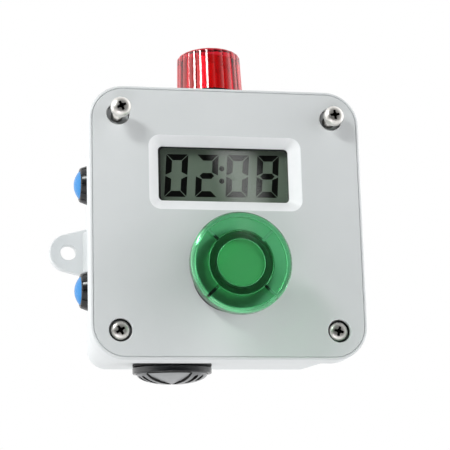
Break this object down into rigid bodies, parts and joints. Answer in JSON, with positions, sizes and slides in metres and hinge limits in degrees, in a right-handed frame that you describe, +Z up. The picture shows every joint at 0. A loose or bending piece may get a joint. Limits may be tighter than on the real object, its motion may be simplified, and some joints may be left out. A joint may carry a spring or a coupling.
{
  "type": "process timer",
  "caption": "Wall-mounted timer in a square moulded box, with a digital display, a lit mushroom start button, a red beacon on top, domed side buttons and a round sounder below.",
  "frame": {"origin": "middle of the box's flat back, on the wall", "axes": "+Z up, +X to the right as seen from the front, +Y into the wall, so the lid faces -Y"},
  "size_m": [0.133, 0.0914, 0.1427],
  "materials": {
    "grey_pvc": "moulded, satin",
    "black_plastic": "moulded, satin",
    "black_rubber": "matt",
    "green_polycarbonate": "translucent, polished",
    "red_polycarbonate": "translucent, fluted",
    "blue_plastic": "moulded, semi-gloss",
    "clear_polycarbonate": "clear, polished",
    "lcd_glass": "grey-green reflective cell",
    "white_plastic": "moulded, opal",
    "board_laminate": "solder mask",
    "zinc_plated_steel": "bright zinc",
    "brass": "plain",
    "cell_jacket": "plain sleeve"
  },
  "bodies": {
    "case": {"back_box": "grey_pvc", "lid": "grey_pvc", "lid_gasket": "black_rubber", "window_seal": "black_rubber", "display_window": "clear_polycarbonate", "lcd_panel": "lcd_glass", "lcd_frame": "black_plastic", "contact_strip_upper": "black_rubber", "contact_strip_lower": "black_rubber", "timer_board": "board_laminate", "board_screw_1": "zinc_plated_steel", "board_screw_2": "zinc_plated_steel", "board_screw_3": "zinc_plated_steel", "board_screw_4": "zinc_plated_steel", "controller_chip": "black_plastic", "quartz_crystal": "zinc_plated_steel", "start_bushing": "black_plastic", "start_gasket": "black_rubber", "start_nut": "black_plastic", "start_spring": "zinc_plated_steel", "start_lamp": "white_plastic", "contact_block": "black_plastic", "contact_pin_left": "brass", "contact_pin_right": "brass", "side_upper_bezel": "black_plastic", "side_upper_spring": "zinc_plated_steel", "side_upper_switch": "black_plastic", "side_upper_nut": "zinc_plated_steel", "side_lower_bezel": "black_plastic", "side_lower_spring": "zinc_plated_steel", "side_lower_switch": "black_plastic", "side_lower_nut": "zinc_plated_steel", "beacon_gasket": "black_rubber", "beacon_base": "black_plastic", "beacon_lens": "red_polycarbonate", "beacon_lamp": "white_plastic", "beacon_nut": "black_plastic", "sounder_gasket": "black_rubber", "sounder_body": "black_plastic", "sounder_grille": "black_plastic", "sounder_disc": "brass", "sounder_nut": "black_plastic", "battery_tray": "black_plastic", "battery_cell_1": "cell_jacket", "battery_cell_2": "cell_jacket", "battery_cell_3": "cell_jacket"},
    "start_button": {"start_cap": "green_polycarbonate", "start_diffuser": "white_plastic", "start_stem": "black_plastic", "contact_ring": "brass"},
    "side_button_upper": {"side_upper_cap": "blue_plastic", "side_upper_stem": "black_plastic"},
    "side_button_lower": {"side_lower_cap": "blue_plastic", "side_lower_stem": "black_plastic"},
    "screw_top_left": {"lid_screw_top_left": "zinc_plated_steel"},
    "screw_top_right": {"lid_screw_top_right": "zinc_plated_steel"},
    "screw_bottom_left": {"lid_screw_bottom_left": "zinc_plated_steel"},
    "screw_bottom_right": {"lid_screw_bottom_right": "zinc_plated_steel"}
  },
  "joints": [
    {"name": "start_press", "type": "slide", "parent": "case", "child": "start_button", "axis": [0, 1, 0], "range_m": [0, 0.004], "stiffness_N_per_m": 800, "springref_m": -0.004, "deforming": ["start_spring"]},
    {"name": "side_upper_press", "type": "slide", "parent": "case", "child": "side_button_upper", "axis": [1, 0, 0], "range_m": [0, 0.0013], "stiffness_N_per_m": 1500, "springref_m": -0.001, "deforming": ["side_upper_spring"]},
    {"name": "side_lower_press", "type": "slide", "parent": "case", "child": "side_button_lower", "axis": [1, 0, 0], "range_m": [0, 0.0013], "stiffness_N_per_m": 1500, "springref_m": -0.001, "deforming": ["side_lower_spring"]},
    {"name": "screw_top_left_out", "type": "slide", "parent": "case", "child": "screw_top_left", "axis": [0, -1, 0], "range_m": [-0.0117, 0.0003]},
    {"name": "screw_top_right_out", "type": "slide", "parent": "case", "child": "screw_top_right", "axis": [0, -1, 0], "range_m": [-0.0082, 0.0038]},
    {"name": "screw_bottom_left_out", "type": "slide", "parent": "case", "child": "screw_bottom_left", "axis": [0, -1, 0], "range_m": [0, 0.012]},
    {"name": "screw_bottom_right_out", "type": "slide", "parent": "case", "child": "screw_bottom_right", "axis": [0, -1, 0], "range_m": [0, 0.012]}
  ]
}
